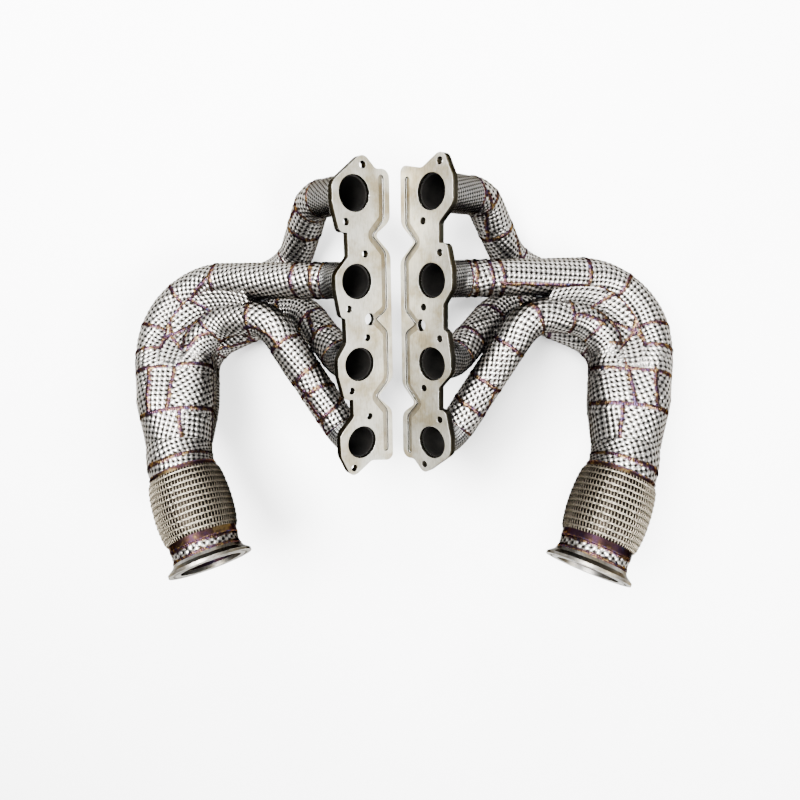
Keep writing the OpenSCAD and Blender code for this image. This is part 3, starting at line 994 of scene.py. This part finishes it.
def wrap_collector(side, turn):
    """The collector's two foil shells, and the webs between the runners above it."""
    manifold = side + "_manifold"
    top, shoulder, low = COLLECTOR_SEAMS[side]
    rings = [(p, 0.0 if p < 0 else 2.5, 1.0 + p) for p in (top, shoulder, low)]
    cuts = [((top, -14), (shoulder, -4)), ((shoulder, -4), (low, 6)),
            ((shoulder, 26), (low, 30)), ((low, -8), (PAST_COLLECTOR, -10)),
            ((top, -60), (PAST_COLLECTOR, -60)), ((top, 60), (PAST_COLLECTOR, 60))]
    upper = collector_foil(f"{side}_collector_foil_upper", side, COLLECTOR_LIP, SHOULDER_AT,
                           rings, cuts, turn + 31)
    lower = collector_foil(f"{side}_collector_foil_lower", side, SHOULDER_AT + 0.1,
                           COLLECTOR_LEN, rings, cuts, turn + 31)
    for k, (web, web_cuts) in enumerate(zip(WEBS, (WEB_CUTS, (), (), ())), 1):
        valley = web_foil(f"{side}_collector_foil_web_{k}", side, web, web_cuts, turn + 50 + k)
        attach(paint(valley, FOIL), manifold)
    for piece, node in ((upper, "collector_wrap_upper"), (lower, "collector_wrap_lower")):
        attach(paint(piece, FOIL), manifold)
        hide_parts(f"{side}_{node}")


def wrap_side(side):
    manifold = side + "_manifold"
    turn = 0 if side == "left" else 50
    for i, route in enumerate(ROUTES, 1):
        wrap_runner(side, i, route, turn)
    wrap_collector(side, turn)
    neck = foil_tube(f"{side}_neck_foil", side, NECK, 0.1, route_length(NECK) - NECK_BARE,
                     OUTLET_WRAP_R, [(22.0, 3.0, 1.0)], [], turn + 41)
    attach(paint(neck, FOIL), manifold)
    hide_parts(f"{side}_neck_wrap")


def dress_outlet(side):
    """The braid's two halves, the ring of foil below it and the three welds."""
    manifold, flex, outlet = (f"{side}_{b}" for b in ("manifold", "flex", "outlet"))
    middle = BRAID_LEN / 2
    upper = paint(braid(f"{side}_braid_knit_upper", side, BRAID_GAP, middle), BRAID)
    lower = paint(braid(f"{side}_braid_knit_lower", side, middle, BRAID_LEN - BRAID_GAP), BRAID)
    row_point(flex_at(8), side)
    row_point(flex_at(33), side)
    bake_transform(upper)
    row_point(flex_at(49), side)
    row_point(flex_at(74), side)
    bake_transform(lower)
    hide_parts(f"{side}_braid_upper")
    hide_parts(f"{side}_braid_lower")
    ring_route = ((flex_at(OUTLET_WRAP_AT), 0), (flex_at(OUTLET_LEN - V_BAND_BARE), 0))
    ring = foil_tube(f"{side}_outlet_foil", side, ring_route, 0.0, OUTLET_WRAP_LEN,
                     OUTLET_WRAP_R, [(1.0, 0, 0), (13.2, 0, 0)], [], 61)
    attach(paint(ring, FOIL), outlet)
    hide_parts(f"{side}_outlet_wrap")
    for name, place, radius, body in (("neck_weld", -3.8, 40.4, manifold),
                                      ("collar_weld", 89.2, 40.2, outlet),
                                      ("v_band_weld", OUTLET_LEN - 13.4, 40.3, outlet)):
        bead = weld_bead(f"{side}_{name}", side, flex_at(place), FLEX_DIR, radius,
                         OUTLET_BEAD_R, 71)
        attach(paint(bead, WELD), body)


CAD_LOOKS = {
    "merge_collector": SOOT, "neck_pipe": SOOT, "flex_collar_upper": COLLAR,
    "flex_collar_lower": COLLAR, "flow_liner": SOOT, "bellows": SOOT, "outlet_pipe": OUTLET,
    "v_band_flange": V_BAND, **{f"runner_{i}": SOOT for i in range(1, 5)},
}


def paint_cad(side):
    looks = {"head_flange": FLANGES[side], **CAD_LOOKS}
    for name, material in looks.items():
        node = frame["nodes"][f"{side}_{name}"]
        node.data.materials.clear()
        node.data.materials.append(material)


# --- Floor, light and camera: metres, degrees and watts ---
FLOOR_HALF = 4.0
FLOOR_LEVEL = -0.001
LIGHTS_AIM = (0, 0, 0.1)
CAMERA_AT = np.array([47.4, 78.6 - MIDDLE_Y, 708.4 + REST_HEIGHT]) * MM
# The world's turn as the camera sees it, as an axis times an angle
CAMERA_TURN = np.radians([13.63, -3.33, 0.53])


def floor():
    mesh = bpy.data.meshes.new("floor")
    corners = [(x * FLOOR_HALF, y * FLOOR_HALF, FLOOR_LEVEL)
               for x, y in ((-1, -1), (1, -1), (1, 1), (-1, 1))]
    mesh.from_pydata(corners, [], [(0, 1, 2, 3)])
    obj = bpy.data.objects.new("floor", mesh)
    bpy.context.scene.collection.objects.link(obj)
    material, nt, shader = new_material("pale_floor")
    where = object_coordinates(nt)
    nt.links.new(ramp(nt, noise(nt, where, 3.0), [(0.3, grey(0.93)), (0.7, grey(0.96))]),
                 shader.inputs["Base Color"])
    shader.inputs["Roughness"].default_value = 0.9
    shader.inputs["Specular IOR Level"].default_value = 0.1
    mesh.materials.append(material)


def area_light(name, place, aim, size, power):
    light = bpy.data.lights.new(name, "AREA")
    light.shape = "RECTANGLE"
    light.size, light.size_y = size
    light.energy = power
    obj = bpy.data.objects.new(name, light)
    obj.location = place
    obj.rotation_euler = (Vector(aim) - Vector(place)).to_track_quat("-Z", "Y").to_euler()
    bpy.context.scene.collection.objects.link(obj)


def studio():
    world = bpy.data.worlds.new("studio")
    world.use_nodes = True
    world.node_tree.nodes["Background"].inputs["Color"].default_value = (1, 1, 1, 1)
    world.node_tree.nodes["Background"].inputs["Strength"].default_value = 0.9
    bpy.context.scene.world = world
    area_light("key", (-0.6, 0.7, 2.2), LIGHTS_AIM, (1.2, 1.2), 420)
    area_light("fill", (1.2, -0.4, 1.9), LIGHTS_AIM, (0.9, 0.9), 180)
    area_light("strip", (0.1, 1.8, 1.2), LIGHTS_AIM, (2.0, 0.3), 130)


def camera():
    data = bpy.data.cameras.new("camera")
    data.lens = 27
    data.sensor_width = 36
    obj = bpy.data.objects.new("camera", data)
    angle = float(np.linalg.norm(CAMERA_TURN))
    world_to_view = Matrix.Rotation(angle, 3, Vector(CAMERA_TURN / angle))
    view_to_world = world_to_view.transposed().to_4x4()
    obj.matrix_world = Matrix.Translation(Vector(CAMERA_AT)) @ view_to_world
    bpy.context.scene.collection.objects.link(obj)
    bpy.context.scene.camera = obj


camera()
studio()
floor()
for side in SIDES:
    wrap_side(side)
    dress_outlet(side)
    paint_cad(side)
